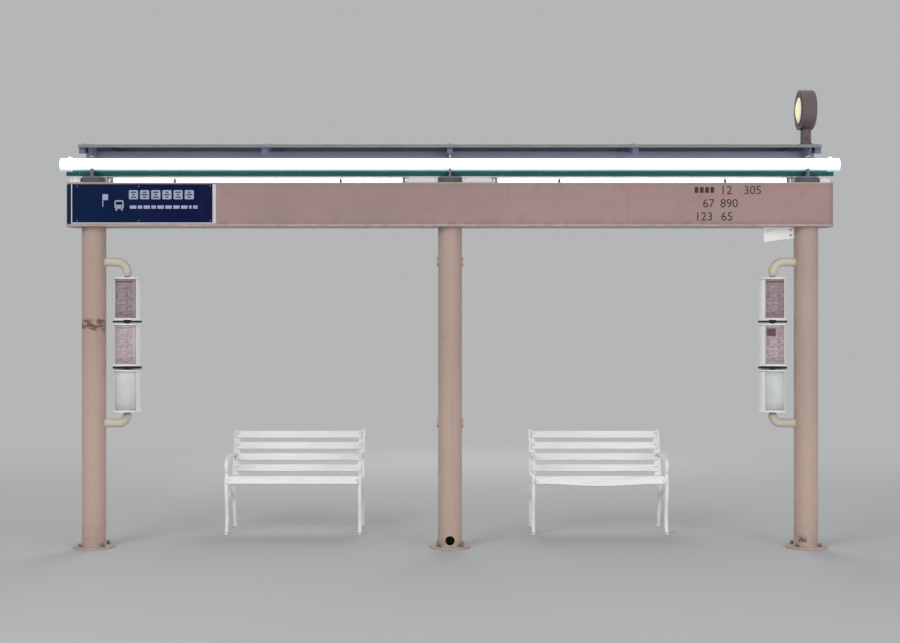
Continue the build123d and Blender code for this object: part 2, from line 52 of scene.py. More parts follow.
# Camera: where the photograph was taken from, looking level along +Y, with a longer lens on the same view
EYE = Vector((0, -10.28, 1.56))
SENSOR_WIDTH = 36  # millimetres
PHOTO_LENS = 27.04  # millimetres
CLOSER = 2.2  # how much larger than in the photograph the shelter is shown

# Stage
FLOOR_REACH = 60
FLOOR_CLEAR = 0.0008
FLOOR_FADE = (4.5, 9.5)  # from the middle
FLOOR_COLOR = (0.47, 0.47235, 0.47705, 1)
BACKDROP_COLOR = (0.46, 0.4646, 0.4738, 1)
SKY_COLOR = (0.96, 0.98, 1.0, 1)
SKY_LIGHT = 0.55
LAMP_SIZE = 6.0
LAMPS = {  # places, what they are aimed at, and watts
    "key": ((-5.5, -8.5, 6.5), (0, 0, 1.2), 460),
    "fill": ((5.5, -8.5, 2.0), (0, 0.6, 0.9), 380),
    "rear": ((0.5, 9.0, 6.0), (0, 0.6, 1.4), 360),
}

# Sizes and places of the solids that the small pieces seat on
HALF_BAY = 1.23
POST_RADIUS = 0.0826
BASE_TOP = 0.014
ANCHOR_CIRCLE = 0.113
BEAM_FACE = 0.120
BEAM_TOP = 2.511
LOWER_LIP = (2.2262, 2.2248)
UPPER_LIP = (2.5012, 2.5022)
PANEL_FACE = BEAM_FACE + 0.002
BRACKET_RADIUS = 0.03025
BRACKET_HEIGHTS = (1.971, 0.859)
ARM_FOOT_TOP = 2.558
ARM_THICKNESS = 0.014
TUBE_RADIUS = 0.045
TUBE_HEIGHT = 2.642
HANGER_STEP = 0.75
HANGER_FOOT = (0.268, 2.624)  # Y and Z of its bolts on the batten
HANGER_HEAD = (0.080, 2.688)  # Y and Z of its screws in the rail
DRUM_AXIS = 2.230
DRUM_RADIUS = 0.0915
DRUM_RIM = 0.105
DRUM_FLANGE = 0.008
COLLAR_RADIUS = 0.026
ROOF_LAMP = Vector((2.410, 0, 3.020))
LENS_RADIUS = 0.088
LENS_PROUD = 0.0100
STEM_X = 2.459
STEM_RADIUS = 0.036
BENCH_FRONT = 0.600
BACK_SLAT_WIDTH = 0.054
KNEE_THICKNESS = 0.006


def srgb(red, green, blue):
    """A linear colour from screen values of 0 to 255."""
    return tuple(((value / 255 + 0.055) / 1.055) ** 2.4 for value in (red, green, blue)) + (1.0,)


def shade(color, factor):
    """A lighter or darker colour."""
    return tuple(min(1.0, value * factor) for value in color[:3]) + (1.0,)


def blend(first, second, share):
    """A colour part of the way from the first to the second."""
    return tuple(a + (b - a) * share for a, b in zip(first, second))


STREET_DIRT = srgb(96, 84, 74)
DUST = srgb(176, 168, 158)
RUST = srgb(104, 58, 34)
PRIMER = srgb(92, 88, 90)
BARE_METAL = srgb(150, 152, 154)
MATERIALS = {}


class Graph:
    """The nodes of a material or of the world, with short ways to add and join them."""

    def __init__(self, owner):
        owner.use_nodes = True
        self.tree = owner.node_tree
        self.tree.nodes.clear()

    def join(self, source, socket):
        """Gives a socket another socket's output, or a plain value."""
        if isinstance(source, bpy.types.NodeSocket):
            self.tree.links.new(source, socket)
        else:
            socket.default_value = source

    def add(self, kind, inputs=(), **settings):
        """A node with its settings, and with its inputs given by place or by name."""
        node = self.tree.nodes.new("ShaderNode" + kind)
        for key, value in settings.items():
            setattr(node, key, value)
        for key, source in inputs.items() if isinstance(inputs, dict) else enumerate(inputs):
            self.join(source, node.inputs[key])
        return node

    def split(self, vector):
        """The X, Y and Z of a vector."""
        return self.add("SeparateXYZ", [vector]).outputs

    def math(self, operation, *values, clamp=False):
        return self.add("Math", values, operation=operation, use_clamp=clamp).outputs[0]

    def times(self, first, *others):
        """The product of values."""
        for other in others:
            first = self.math("MULTIPLY", first, other)
        return first

    def line(self, value, slope, start):
        """The value times a slope, plus a start."""
        return self.math("MULTIPLY_ADD", value, slope, start)

    def span(self, value, low, high):
        """0 at low and 1 at high, with an easy passage between."""
        return self.add("MapRange", (value, low, high), interpolation_type="SMOOTHSTEP").outputs[0]

    def within(self, value, low, high, soft):
        """1 between low and high, 0 outside."""
        risen = self.span(value, low - soft, low + soft)
        return self.times(risen, self.span(value, high + soft, high - soft))

    def mix(self, factor, first, second):
        return self.add("Mix", {0: factor, 6: first, 7: second}, data_type="RGBA").outputs[2]

    def direct_rays(self):
        """1 for camera, mirror and see-through rays, 0 for those that carry light."""
        rays = self.add("LightPath").outputs
        seen = self.math("MAXIMUM", rays["Is Camera Ray"], rays["Is Glossy Ray"])
        return self.math("MAXIMUM", seen, rays["Is Transmission Ray"])


class Surface(Graph):
    """One material: a Principled shader, the nodes that feed it, and its colour so far, which is base."""

    def __init__(self, name, **sockets):
        self.name = name
        self.material = bpy.data.materials.new(name)
        super().__init__(self.material)
        values = {key.replace("_", " "): value for key, value in sockets.items()}
        self.shader = self.add("BsdfPrincipled", values)
        self.add("OutputMaterial", [self.shader.outputs[0]])
        coordinates = self.add("TexCoord").outputs
        self.place = coordinates["Object"]
        self.facing = coordinates["Normal"]
        self.sheet = coordinates["UV"]

    def upward(self):
        """1 where a face lies level, 0 where it stands and -1 where it looks down."""
        return self.split(self.facing)[2]

    def noise(self, scale, detail=3.0, stretch=(1, 1, 1), source=None, roughness=0.55):
        place = self.place if source is None else source
        mapped = self.add("Mapping", {"Vector": place, "Scale": stretch}).outputs[0]
        values = {"Vector": mapped, "Scale": scale, "Detail": detail, "Roughness": roughness}
        return self.add("TexNoise", values).outputs["Fac"]

    def patches(self, low, high, scale, detail, stretch=(1, 1, 1), **kinds):
        """Noise with its values from low to high spread over 0 to 1."""
        return self.span(self.noise(scale, detail, stretch, **kinds), low, high)

    def uneven(self, mask, first, second):
        """Starts the colour as one that wavers between two."""
        self.base = self.mix(mask, first, second)

    def tint(self, color, *masks):
        """Turns the colour towards another by the product of masks and strengths."""
        self.base = self.mix(self.times(*masks), self.base, color)

    def edges(self, radius):
        """The normal with edges eased by a radius, and a mask that is 1 on those edges."""
        eased = self.add("Bevel", {"Radius": radius}, samples=4).outputs[0]
        plain = self.add("NewGeometry").outputs["Normal"]
        turned = self.add("VectorMath", (eased, plain), operation="DOT_PRODUCT").outputs["Value"]
        return eased, self.span(turned, 0.995, 0.86)

    def bump(self, *layers, normal=None):
        """Joins heights, each with its depth in metres, into the shader's normal."""
        for height, depth in layers:
            values = {"Height": height, "Distance": depth, "Strength": 1.0}
            if normal is not None:
                values["Normal"] = normal
            normal = self.add("Bump", values).outputs[0]
        self.join(normal, self.shader.inputs["Normal"])

    def finish(self, roughness):
        """Joins the colour and the roughness, and keeps the material under its name."""
        self.join(self.base, self.shader.inputs["Base Color"])
        self.join(roughness, self.shader.inputs["Roughness"])
        MATERIALS[self.name] = self.material


def painted(name, color, roughness=0.42, tone=0.06, runs=0.35, ground=0.0, dust=0.25, wear=0.3, under=PRIMER,
            edge=0.0016, peel=0.00006, marks=None, rust=0.0, coat=0.0, shine=0.5):
    """Brushed or sprayed paint on metal: uneven tone, rain runs, ground dirt, dust on top, worn edges."""
    s = Surface(name, Coat_Weight=coat, Coat_Roughness=0.15, Specular_IOR_Level=shine)
    fine = s.noise(11, 5)
    s.uneven(s.patches(0.3, 0.7, 1.1, 3), shade(color, 1 - tone), shade(color, 1 + tone))
    s.tint(shade(color, 0.84), s.span(fine, 0.5, 0.78), 0.45)
    dirty = s.times(s.patches(0.54, 0.80, 1.0, 4, (34, 34, 0.9)), runs)
    if ground:
        low = s.span(s.split(s.place)[2], 0.34, 0.0)
        dirty = s.math("MAXIMUM", dirty, s.times(low, s.patches(0.25, 0.75, 23, 4), ground))
    s.tint(blend(color, STREET_DIRT, 0.55), dirty)
    s.tint(DUST, s.span(s.upward(), 0.35, 0.95), s.span(fine, 0.3, 0.6), dust)
    if marks is not None:
        marks(s)
    if rust:
        s.tint(RUST, s.patches(0.62, 0.70, 38, 6, roughness=0.7), rust)
    eased, at_edge = s.edges(edge)
    worn = s.times(at_edge, s.patches(0.48, 0.62, 55, 5), wear)
    s.tint(under, worn)
    s.bump((s.noise(420, 2), peel), (s.noise(5, 2), 0.0006), (worn, -0.00012), normal=eased)
    s.finish(s.math("ADD", s.line(fine, 0.22, roughness - 0.11), s.times(dirty, 0.25), clamp=True))


# Marks on the posts: where the left one is smeared, and the dark patch at the right one's foot
SMEAR_LEVELS = (1.570, 1.642)  # heights, with the noise of its ragged edges added
PATCH_ACROSS = (2.395, 2.445)
PATCH_HEIGHTS = (0.045, 0.085)


def post_marks(s):
    """The posts' dark inside, painted shade on their heads, the left one's brown smears and the right one's
    foot patch.
    """
    x, y, z = s.split(s.place)
    across = s.math("WRAP", x, -HALF_BAY, HALF_BAY)
    away = s.math("SQRT", s.math("ADD", s.times(across, across), s.times(y, y)))
    s.tint(srgb(30, 27, 27), s.math("LESS_THAN", away, POST_RADIUS - 0.002), 0.93)
    s.tint(srgb(212, 184, 168), s.span(z, 2.2, 0.3), 0.28)
    front = s.span(y, 0.0, -0.04)
    band = s.within(s.line(s.noise(13, 4), 0.14, z), *SMEAR_LEVELS, 0.016)
    smear = s.patches(0.36, 0.54, 1, 5, (22, 22, 60))
    s.tint(srgb(88, 60, 47), s.math("LESS_THAN", x, -HALF_BAY), band, front, smear, 0.85)
    patch = s.times(s.within(x, *PATCH_ACROSS, 0.006), s.within(z, *PATCH_HEIGHTS, 0.01))
    s.tint(srgb(72, 66, 60), patch, front, s.patches(0.35, 0.5, 60, 3), 0.8)
    # Painted shade: the heads above the beam's top turn dark teal, as in the shade under the light
    s.tint(srgb(50, 70, 72), s.span(z, BEAM_TOP - 0.002, BEAM_TOP + 0.002), 0.85)


def beam_marks(s):
    """Paler lips, a rosy band, soot under the light and grime along the foot of the faces."""
    z = s.split(s.place)[2]
    s.tint(srgb(206, 190, 186), s.math("MAXIMUM", s.span(z, *LOWER_LIP), s.span(z, *UPPER_LIP)), 0.42)
    rosy, soot, grime = s.within(z, 2.40, 2.49, 0.03), s.span(z, 2.46, 2.50), s.span(z, 2.262, 2.228)
    s.tint(srgb(168, 118, 120), rosy, s.patches(0.42, 0.68, 1, 4, (1.6, 1.6, 14)), 0.30)
    s.tint(srgb(112, 98, 96), soot, s.patches(0.3, 0.7, 1, 4, (9, 9, 2)), 0.16)
    s.tint(srgb(96, 82, 78), grime, s.patches(0.3, 0.7, 1, 4, (14, 14, 30)), 0.30)


def panel_marks(s):
    """The blue shifts from teal at the beam's end to violet navy inwards, and has faded in patches."""
    s.tint(srgb(4, 36, 64), s.span(s.split(s.place)[0], -1.75, -2.60), 0.55)
    s.tint(srgb(26, 40, 84), s.patches(0.5, 0.75, 6, 5), 0.22)


def metal(name, color, roughness=0.35, brushed=(1, 1, 1), stain=0.3):
    """Bare or galvanised metal with a brushed or spangled tone and stains."""
    s = Surface(name, Metallic=0.85)
    grain, spots = s.noise(220, 3, brushed), s.noise(36, 5)
    s.uneven(s.span(grain, 0.3, 0.7), shade(color, 0.86), shade(color, 1.1))
    s.tint(STREET_DIRT, s.span(spots, 0.5, 0.72), stain)
    eased, at_edge = s.edges(0.0008)
    s.tint(shade(color, 1.25), at_edge, 0.35)
    s.bump((grain, 0.00004), (spots, 0.0001), normal=eased)
    s.finish(s.line(spots, 0.3, roughness - 0.12))


def glowing(name, glow, under, strength, rim):
    """An opal cover lit from inside: slightly mottled, duller where dust lies, and tinted underneath with
    painted shade.
    """
    s = Surface(name, Emission_Strength=strength, IOR=1.5)
    spots = s.noise(14, 4)
    low = s.span(s.upward(), -0.35, -0.92)
    # Painted shade: the glow turns to the darker under colour on faces that look down
    s.uneven(low, glow, under)
    s.tint(shade(glow, 0.55), s.span(s.upward(), 0.75, 1.0), 0.35)
    s.tint(shade(glow, 0.6), s.span(spots, 0.52, 0.75), 0.12)
    s.join(s.base, s.shader.inputs["Emission Color"])
    s.uneven(s.span(spots, 0.4, 0.7), srgb(226, 232, 232), srgb(204, 212, 212))
    # Painted shade: the colour turns to the rim colour on faces that look down
    s.tint(rim, low, 0.6)
    s.bump((s.noise(300, 2), 0.00003), (spots, 0.0002))
    s.finish(s.line(spots, 0.2, 0.25))


FLUTE_PITCH = 0.032


def roof_plastic(name):
    """Smoke-blue ribbed sheet: flutes from front to back, dust and stains on top, dull beneath and dark there
    in painted shade.
    """
    s = Surface(name, Transmission_Weight=0.10, Specular_IOR_Level=0.35)
    flute = s.math("SINE", s.times(s.split(s.place)[0], tau / FLUTE_PITCH))
    fine = s.noise(7, 5)
    beneath = s.span(s.upward(), -0.2, -0.6)
    s.uneven(s.span(fine, 0.3, 0.7), srgb(20, 27, 54), srgb(32, 40, 74))
    s.tint(srgb(52, 62, 100), s.span(flute, 0.2, 1.0), 0.22)
    s.tint(srgb(120, 118, 116), s.span(s.upward(), 0.4, 0.9), s.patches(0.42, 0.75, 1, 6, (5, 1.4, 5)), 0.55)
    # Painted shade: the underside turns dark navy
    s.tint(srgb(11, 14, 30), beneath, 0.6)
    s.bump((flute, 0.0005), (fine, 0.00006))
    s.finish(s.math("ADD", s.line(fine, 0.25, 0.16), s.times(beneath, 0.35)))


def slat_paint(name):
    """White gloss paint on boards: brush marks and grain along X, chips at the edges, grime in the seat."""
    s = Surface(name, Coat_Weight=0.35, Coat_Roughness=0.2)
    grain, fine = s.noise(1, 5, (5, 160, 160)), s.noise(16, 5)
    s.uneven(s.span(grain, 0.3, 0.7), srgb(232, 234, 235), srgb(246, 247, 248))
    s.tint(srgb(204, 202, 196), s.span(fine, 0.54, 0.78), 0.22)
    s.tint(srgb(190, 188, 182), s.span(s.upward(), 0.6, 1.0), s.patches(0.45, 0.75, 4, 4), 0.18)
    eased, at_edge = s.edges(0.0022)
    chips = s.times(at_edge, s.patches(0.60, 0.66, 1, 5, (20, 70, 70)))
    s.tint(srgb(136, 112, 86), chips, 0.8)
    s.bump((s.noise(1, 3, (2.2, 420, 420)), 0.00012), (grain, 0.0002), (chips, -0.0003), normal=eased)
    s.finish(s.line(fine, 0.2, 0.24))


# Timetable print, in the sheet's own U and V
ROW_PITCH = 0.0075
GROUP_PITCH = 0.0525
COLUMN_PITCH = 0.0395
PRINT_ACROSS = (0.008, 0.136)
PRINT_HEIGHTS = (0.012, 0.256)


def timetable_print(name, sheet, ink, heading, head_v, head_u=PRINT_ACROSS):
    """A printed timetable: a dark heading block, thin table lines and short dashes for the print."""
    s = Surface(name, Coat_Weight=0.35, Coat_Roughness=0.18)
    u, v, _ = s.split(s.sheet)

    def share(value, pitch, low, high, soft):
        """1 where a value is between two shares of each pitch."""
        return s.within(s.math("FRACT", s.times(value, 1 / pitch)), low, high, soft)

    def drawn(across, along, low, high):
        """Noise over the sheet's two directions, as a mask."""
        return s.patches(low, high, 1, 2, source=s.add("CombineXYZ", (across, along)).outputs[0])

    margin = s.times(s.within(u, *PRINT_ACROSS, 0.001), s.within(v, *PRINT_HEIGHTS, 0.001))
    row = s.math("FLOOR", s.times(v, 1 / ROW_PITCH))
    dashes = s.times(drawn(s.times(u, 260.0), s.times(row, 7.31), 0.47, 0.51),
                     share(v, ROW_PITCH, 0.22, 0.74, 0.05), share(v, GROUP_PITCH, 0.10, 0.86, 0.02))
    bold = drawn(s.times(u, 26.0), s.times(v, 95.0), 0.48, 0.60)
    columns, rules = share(u, COLUMN_PITCH, 0.47, 0.53, 0.01), share(v, GROUP_PITCH, 0.96, 0.99, 0.01)
    fine = s.noise(2.0, 5)
    s.uneven(s.patches(0.3, 0.7, 9, 4), shade(sheet, 0.93), shade(sheet, 1.06))
    s.tint(ink, dashes, margin, 0.78)
    s.tint(ink, bold, margin, 0.5)
    s.tint(heading, s.math("MAXIMUM", columns, rules), margin, 0.6)
    s.tint(heading, s.within(v, *head_v, 0.001), s.within(u, *head_u, 0.001), 0.85)
    s.tint(shade(sheet, 0.78), s.span(fine, 0.45, 0.75), 0.25)
    s.bump((s.noise(60, 3), 0.0001))
    s.finish(s.line(fine, 0.2, 0.3))


def plain_print(name, color, roughness=0.5):
    """Sign film, paper or rubber with a slightly uneven tone and scuffs."""
    s = Surface(name)
    fine = s.noise(60, 4)
    s.uneven(s.patches(0.3, 0.7, 7, 4), shade(color, 0.9), shade(color, 1.06))
    s.tint(blend(color, STREET_DIRT, 0.5), s.span(fine, 0.55, 0.75), 0.35)
    s.bump((fine, 0.00005))
    s.finish(s.line(fine, 0.2, roughness - 0.1))


# Every material: the record's slots, and those of the small pieces
painted("post_paint", srgb(172, 150, 140), ground=0.75, marks=post_marks, rust=0.25)
painted("beam_paint", srgb(154, 130, 127), runs=0.4, marks=beam_marks, wear=0.2)
painted("panel_blue", srgb(10, 18, 58), 0.3, tone=0.1, runs=0.1, marks=panel_marks,
        under=srgb(150, 160, 180), dust=0.1, shine=0.1)
painted("roof_frame", srgb(106, 110, 131), 0.38, wear=0.25, under=BARE_METAL)
painted("batten_white", srgb(222, 224, 222), 0.32, tone=0.03, runs=0.15, dust=0.4)
painted("bracket_cream", srgb(196, 190, 172), runs=0.4, rust=0.4, wear=0.4)
painted("drum_white", srgb(236, 235, 233), 0.34, tone=0.03, runs=0.25, wear=0.5, under=BARE_METAL,
        coat=0.2)
painted("knee_white", srgb(240, 241, 239), 0.36, tone=0.03, runs=0.2, rust=0.2)
painted("roof_lamp_case", srgb(100, 87, 90), runs=0.5, rust=0.3, under=BARE_METAL)
painted("bench_iron", srgb(236, 238, 238), 0.3, tone=0.03, runs=0.2, ground=0.4, rust=0.45,
        wear=0.5, under=RUST, edge=0.003, coat=0.25, peel=0.00012)
painted("rusty_bolt", srgb(206, 204, 198), rust=1.6, wear=0.8, under=RUST, edge=0.001)
slat_paint("bench_slats")
roof_plastic("roof_sheet")
glowing("light_diffuser", (0.93, 1.0, 1.0, 1), srgb(40, 92, 94), 2.0, srgb(120, 160, 160))
# Painted light: the tube's caps and its clamp bands glow, though they are no lamps
glowing("light_caps", (0.90, 0.97, 0.97, 1), srgb(120, 170, 170), 0.9, srgb(150, 180, 180))
glowing("batten_lamp", (0.95, 1.0, 0.99, 1), (0.95, 1.0, 0.99, 1), 2.5, srgb(214, 222, 222))
glowing("roof_lamp_lens", srgb(246, 228, 140), srgb(226, 196, 96), 0.42, srgb(222, 200, 116))
# Painted shade: the rail under the light is dark teal, the colour of the shaded gap there
metal("light_rail", srgb(66, 118, 122), 0.45, (0.05, 1, 1))
metal("lamp_ends", srgb(196, 200, 204), 0.4)
metal("roof_edge", srgb(176, 180, 186), 0.42, (0.05, 1, 1), 0.12)
metal("spindle_steel", srgb(150, 148, 146), 0.38, (1, 1, 0.04), 0.5)
metal("zinc", srgb(158, 160, 162), 0.45, stain=0.5)
plain_print("sign_white", srgb(154, 162, 186), 0.4)
plain_print("sign_border", srgb(198, 192, 200), 0.4)
plain_print("sign_dark", srgb(66, 48, 52), 0.55)
plain_print("rubber", srgb(34, 34, 36), 0.7)
plain_print("blank_paper", srgb(198, 201, 198), 0.45)
timetable_print("upper_paper", srgb(164, 147, 151), srgb(76, 54, 60), srgb(74, 46, 54), (0.246, 0.256))
timetable_print("left_middle_paper", srgb(194, 180, 184), srgb(132, 108, 117), srgb(128, 104, 116),
                (0.250, 0.254))
timetable_print("right_middle_paper", srgb(190, 174, 178), srgb(104, 68, 77), srgb(78, 34, 40),
                (0.194, 0.246), (0.010, 0.072))


def show(thing, name):
    """An object in the scene for a mesh, lamp or camera."""
    holder = bpy.data.objects.new(name, thing)
    bpy.context.scene.collection.objects.link(holder)
    return holder


def dress(target, material):
    target.data.materials.clear()
    target.data.materials.append(MATERIALS[material])


def piece(name, mesh, material, body="shelter", crease=35):
    """Puts a finished bmesh into the scene as a piece on a body, in a material."""
    bmesh.ops.remove_doubles(mesh, verts=mesh.verts, dist=1e-6)
    bmesh.ops.recalc_face_normals(mesh, faces=mesh.faces)
    data = bpy.data.meshes.new(name)
    mesh.to_mesh(data)
    mesh.free()
    for face in data.polygons:
        face.use_smooth = True
    data.set_sharp_from_angle(angle=radians(crease))
    made = show(data, name)
    dress(made, material)
    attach(made, body)
    return made


def modify(node, kind, **settings):
    """Adds a modifier with its settings."""
    modifier = node.modifiers.new(kind.lower(), kind)
    for key, value in settings.items():
        setattr(modifier, key, value)


def fasteners(name, mesh, body="shelter"):
    piece(name, mesh, "zinc", body)


def at(x, y, z):
    """A placing at a point, not turned."""
    return Matrix.Translation((x, y, z))


def aim(point, direction, roll=0.0):
    """A placing whose local Z points along a direction."""
    turn = Vector(direction).to_track_quat("Z", "Y").to_matrix().to_4x4()
    return Matrix.Translation(point) @ turn @ Matrix.Rotation(roll, 4, "Z")


def circle(place, radius, count, start=0.0, height=0.0):
    """Points round a placing's Z; start is where the first lies, as a share of their step."""
    angles = [tau * (k + start) / count for k in range(count)]
    return [place @ Vector((radius * cos(a), radius * sin(a), height)) for a in angles]


def skin(mesh, rings, closed):
    """Faces between neighbouring rings of vertices, and from the last to the first where closed."""
    for low, high in zip(rings, rings[1:] + rings[:1] if closed else rings[1:]):
        for k in range(len(low)):
            after = (k + 1) % len(low)
            mesh.faces.new((low[k], low[after], high[after], high[k]))


def spread(low, high, margin, count):
    """Evenly spaced places between two ends, less a margin at each."""
    return [low + margin + (high - low - 2 * margin) * k / (count - 1) for k in range(count)]


def lathe(mesh, profile, place, steps=20, closed=False):
    """Turns a profile of (radius, height) about the placing's Z, with flat ends where it isn't closed."""
    rings = [[mesh.verts.new(point) for point in circle(place, radius, steps, height=height)]
             for radius, height in profile]
    skin(mesh, rings, closed)
    for end in () if closed else (0, -1):
        if profile[end][0] > 1e-4:
            mesh.faces.new(rings[end])


def band(inner, outer, half, ease=0.002):
    """The section of a ring with eased outer edges, as a profile for lathe."""
    upper = [(inner, half), (outer - ease, half), (outer, half - ease)]
    return [(radius, -height) for radius, height in upper] + upper[::-1]


def bead(mesh, points, radius, closed=True, ripple=0.12, sides=8):
    """A weld run: a round bead along points, with the ripples of its passes."""
    rings = []
    for k, point in enumerate(points):
        before = points[k - 1] if closed or k else point
        after = points[(k + 1) % len(points)] if closed or k < len(points) - 1 else point
        size = radius * (1 + ripple * (1 if k % 2 else -1))
        rings.append([mesh.verts.new(spot) for spot in circle(aim(point, after - before), size, sides)])
    skin(mesh, rings, closed)
    for end in () if closed else (0, -1):
        mesh.faces.new(rings[end])


def slab(mesh, first, second, place=Matrix.Identity(4), ease=0.0):
    """A box between two corners, with its edges eased."""
    made = bmesh.ops.create_cube(mesh, size=1.0)["verts"]
    spans = [sorted(pair) for pair in zip(first, second)]
    for vert in made:
        shares = [share + 0.5 for share in vert.co]
        vert.co = place @ Vector([low + (high - low) * share for (low, high), share in zip(spans, shares)])
    if ease:
        edges = dict.fromkeys(edge for vert in made for edge in vert.link_edges)
        bmesh.ops.bevel(mesh, geom=list(edges), offset=ease, segments=2, affect="EDGES", profile=0.5)


def hex_nut(mesh, point, direction, width, height, stud, reach, roll=0.0):
    """A washer, a chamfered nut and the rounded end of the stud, of a given radius and reach, in it."""
    corner = width / sqrt(3)
    washer, washer_top = corner * 1.18, height * 0.16
    end = height + reach
    place = aim(point, direction, roll)
    lathe(mesh, [(0, 0), (washer, 0), (washer, washer_top), (0, washer_top)], place, 24)
    place = place @ at(0, 0, washer_top)
    lathe(mesh, [(0, 0), (corner, 0), (corner, height * 0.86), (corner * 0.88, height), (0, height)], place, 6)
    lathe(mesh, [(0, 0), (stud, 0), (stud, end - stud * 0.25), (stud * 0.75, end), (0, end)], place, 16)


def pan_screw(mesh, point, direction, radius, height):
    """A domed screw head."""
    profile = ((0, 0), (1, 0), (0.96, 0.45), (0.7, 0.86), (0.3, 1), (0, 1))
    lathe(mesh, [(radius * r, height * h) for r, h in profile], aim(point, direction), 16)


def middle(node):
    """The middle of a node's box."""
    low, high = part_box(node)
    return (low + high) / 2


POST_PLACES = [middle(name).x for name in ("left_post", "centre_post", "right_post")]
WELD_LIFT = 0.001  # how far a weld's middle line lies off the faces that it joins


def post_fixings():
    """Nuts on the anchor studs, and the weld round each post's foot."""
    nuts, welds = bmesh.new(), bmesh.new()
    for x in POST_PLACES:
        foot = at(x, 0, BASE_TOP)
        for k, spot in enumerate(circle(foot, ANCHOR_CIRCLE, 4, 0.5)):
            hex_nut(nuts, spot, UP, width=0.024, height=0.013, stud=0.008, reach=0.008 + 0.002 * (k % 2),
                    roll=tau * (k + 0.5) / 4)
        bead(welds, circle(foot, POST_RADIUS + WELD_LIFT, 96, height=WELD_LIFT), 0.0048)
    fasteners("post_anchor_nuts", nuts)
    piece("post_foot_welds", welds, "post_paint", crease=80)


def bracket_welds():
    """A weld round each bracket where it meets its post, along the saddle between the two pipes."""
    welds = bmesh.new()
    for side in SIDES.values():
        for height in BRACKET_HEIGHTS:
            level = circle(at(0, 0, 0), BRACKET_RADIUS + WELD_LIFT, 64)
            bead(welds, [Vector((side * (2 * HALF_BAY - sqrt(POST_RADIUS**2 - y**2)), y, height + rise))
                         for y, rise, _ in level], 0.0036)
    piece("bracket_welds", welds, "bracket_cream", crease=80)


def arm_welds():
    """Fillets along both sides of each arm on its foot, and the bolts that hold the rails down."""
    welds, bolts = bmesh.new(), bmesh.new()
    for x in POST_PLACES:
        for side in (-1, 1):
            weld_x = x + side * (ARM_THICKNESS / 2 + WELD_LIFT)
            run = [Vector((weld_x, y / 1000, ARM_FOOT_TOP + WELD_LIFT)) for y in range(-72, 76, 4)]
            bead(welds, run, 0.0035, closed=False)
        for rail in ("roof_front_rail", "roof_rear_rail"):
            for side in (-1, 1):
                spot = (x + side * 0.028, middle(rail).y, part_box(rail)[0].z)
                hex_nut(bolts, spot, -UP, width=0.013, height=0.007, stud=0.004, reach=0.003)
    piece("arm_foot_welds", welds, "roof_frame", crease=80)
    fasteners("rail_bolts", bolts)


def rounded(width, height, radius, x=0.0, y=0.0, steps=5):
    """The outline of a rounded rectangle about a point, anticlockwise."""
    points = []
    for corner in range(4):
        cx = x + (width / 2 - radius) * (1 if corner in (0, 3) else -1)
        cy = y + (height / 2 - radius) * (1 if corner in (0, 1) else -1)
        for k in range(steps + 1):
            angle = pi / 2 * (corner + k / steps)
            points.append((cx + radius * cos(angle), cy + radius * sin(angle)))
    return points


FILM = 0.0006  # thickness of the signs' films


def filled(curve, place):
    """The mesh of a flat curve or text, as a film laid at a placing."""
    curve.extrude = FILM / 2
    holder = bpy.data.objects.new("film", curve)
    data = bpy.data.meshes.new_from_object(holder)
    data.transform(place @ at(0, 0, FILM / 2))
    bpy.data.objects.remove(holder)
    bpy.data.curves.remove(curve)
    return data


def cut_film(place, *loops):
    """A film from closed outlines, inner ones as holes."""
    curve = bpy.data.curves.new("film", "CURVE")
    curve.dimensions = "2D"
    curve.fill_mode = "BOTH"
    for loop in loops:
        spline = curve.splines.new("POLY")
        spline.points.add(len(loop) - 1)
        for point, (x, y) in zip(spline.points, loop):
            point.co = (x, y, 0, 1)
        spline.use_cyclic_u = True
    return filled(curve, place)


def digits(place, text, height):
    """Plain figures, their left foot at the placing."""
    curve = bpy.data.curves.new("figures", "FONT")
    curve.body = text
    curve.size = height / 0.70
    curve.resolution_u = 4
    return filled(curve, place)


def facing(side, y, x=0.0, z=0.0):
    """A placing on the beam's front (side -1) or back (side 1) face, local X to the reader's right, Y up."""
    turn = Matrix.Rotation(pi / 2, 4, "X")
    if side > 0:
        turn = Matrix.Rotation(pi, 4, "Z") @ turn
    return at(x, y, z) @ turn


def film_piece(name, films, material):
    mesh = bmesh.new()
    for data in films:
        mesh.from_mesh(data)
        bpy.data.meshes.remove(data)
    piece(name, mesh, material, crease=30)


# The marks stand in for the sign's words: plain blocks and bars, a bus front and a stop flag. Their heights
# are from the panel's middle
BLOCK_SIZE = 0.062
BLOCK_PITCH = 0.0762
BLOCK_ROW = 0.0625
SLOT_HEIGHT = 0.008
SLOT_PITCH = 0.017
BAR_HEIGHT = 0.022
BAR_ROW = -0.022
BAR_LENGTHS = (0.018, 0.030, 0.044)
BAR_GAP = 0.010
BUS_STEP = 0.098  # from the first block
FLAG_STEP = 0.190


